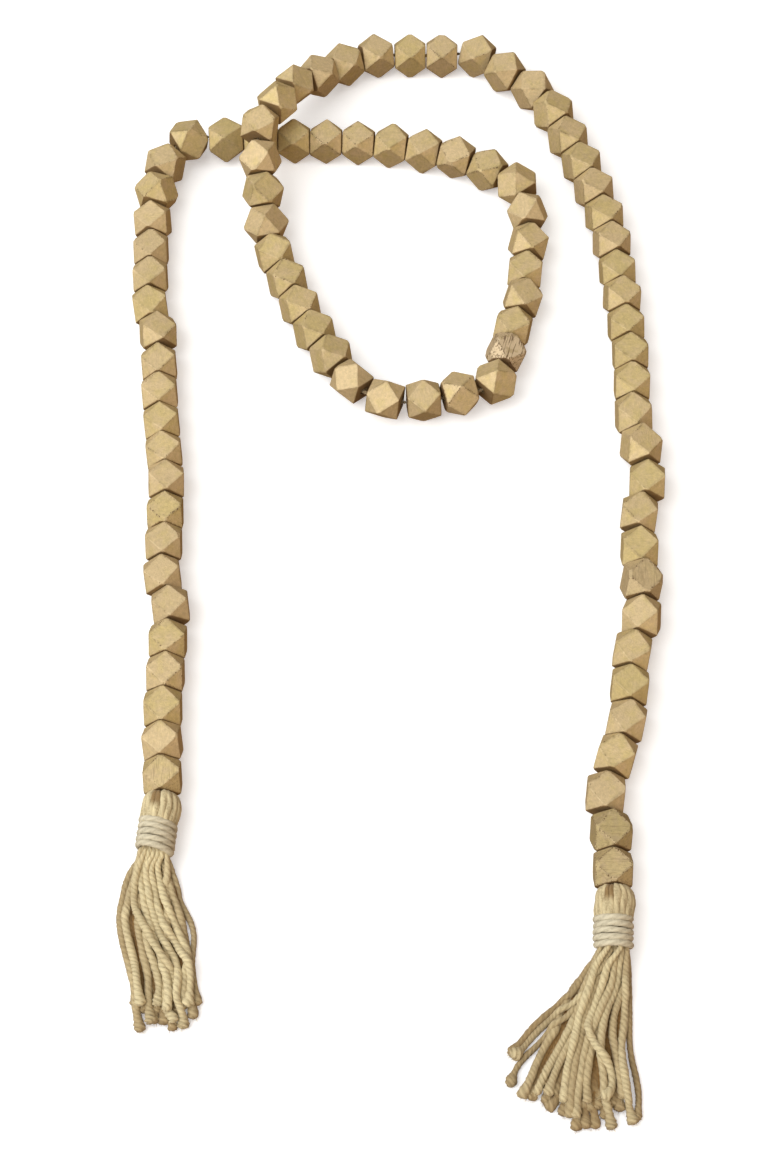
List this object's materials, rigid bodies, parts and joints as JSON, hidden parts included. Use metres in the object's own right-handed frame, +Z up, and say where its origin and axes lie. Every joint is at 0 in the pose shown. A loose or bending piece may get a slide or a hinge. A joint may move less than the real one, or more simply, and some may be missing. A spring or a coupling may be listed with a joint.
{
  "type": "wood bead garland",
  "caption": "Garland of faceted wood beads, painted matte gold, threaded on a cotton cord with a bound cotton tassel at each end, lying in a loop that crosses over itself.",
  "frame": {"origin": "centre of the underside of the box round the whole garland, on the surface it lies on", "axes": "+Z up from the surface; +Y from the tassels towards the loop; +X from the left tassel towards the right one"},
  "size_m": [0.2254, 0.5002, 0.0336],
  "materials": {
    "gold_paint": "matte gold paint over grain",
    "cotton_yarn": "twisted undyed cotton",
    "cotton_twine": "twisted undyed cotton, paler",
    "threading_cord": "thin natural cord"
  },
  "bodies": {
    "root": {"beads_01_02": "gold_paint", "beads_03_04": "gold_paint", "beads_05_06": "gold_paint", "beads_07_08": "gold_paint", "beads_09_10": "gold_paint", "beads_11_12": "gold_paint", "beads_13_14": "gold_paint", "beads_15_16": "gold_paint", "beads_17_18": "gold_paint", "beads_19_20": "gold_paint", "beads_21_22": "gold_paint", "beads_23_24": "gold_paint", "beads_25_26": "gold_paint", "beads_27_28": "gold_paint", "beads_29_30": "gold_paint", "beads_31_32": "gold_paint", "beads_33_34": "gold_paint", "beads_35_36": "gold_paint", "beads_37_38": "gold_paint", "beads_39_40": "gold_paint", "beads_41_42": "gold_paint", "beads_43_44": "gold_paint", "beads_45_46": "gold_paint", "beads_47_48": "gold_paint", "beads_49_50": "gold_paint", "beads_51_52": "gold_paint", "beads_53_54": "gold_paint", "beads_55_56": "gold_paint", "beads_57_58": "gold_paint", "beads_59_60": "gold_paint", "beads_61_62": "gold_paint", "beads_63_64": "gold_paint", "beads_65_66": "gold_paint", "beads_67_68": "gold_paint", "beads_69_70": "gold_paint", "beads_71_72": "gold_paint", "beads_73_74": "gold_paint", "beads_75_76": "gold_paint", "beads_77_78": "gold_paint", "beads_79_80": "gold_paint", "beads_81_82": "gold_paint", "beads_83_84": "gold_paint", "beads_85_86": "gold_paint", "beads_87": "gold_paint", "cord": "threading_cord", "tassel_left": "cotton_yarn", "tassel_right": "cotton_yarn", "binding_left": "cotton_twine", "binding_right": "cotton_twine"}
  },
  "joints": []
}
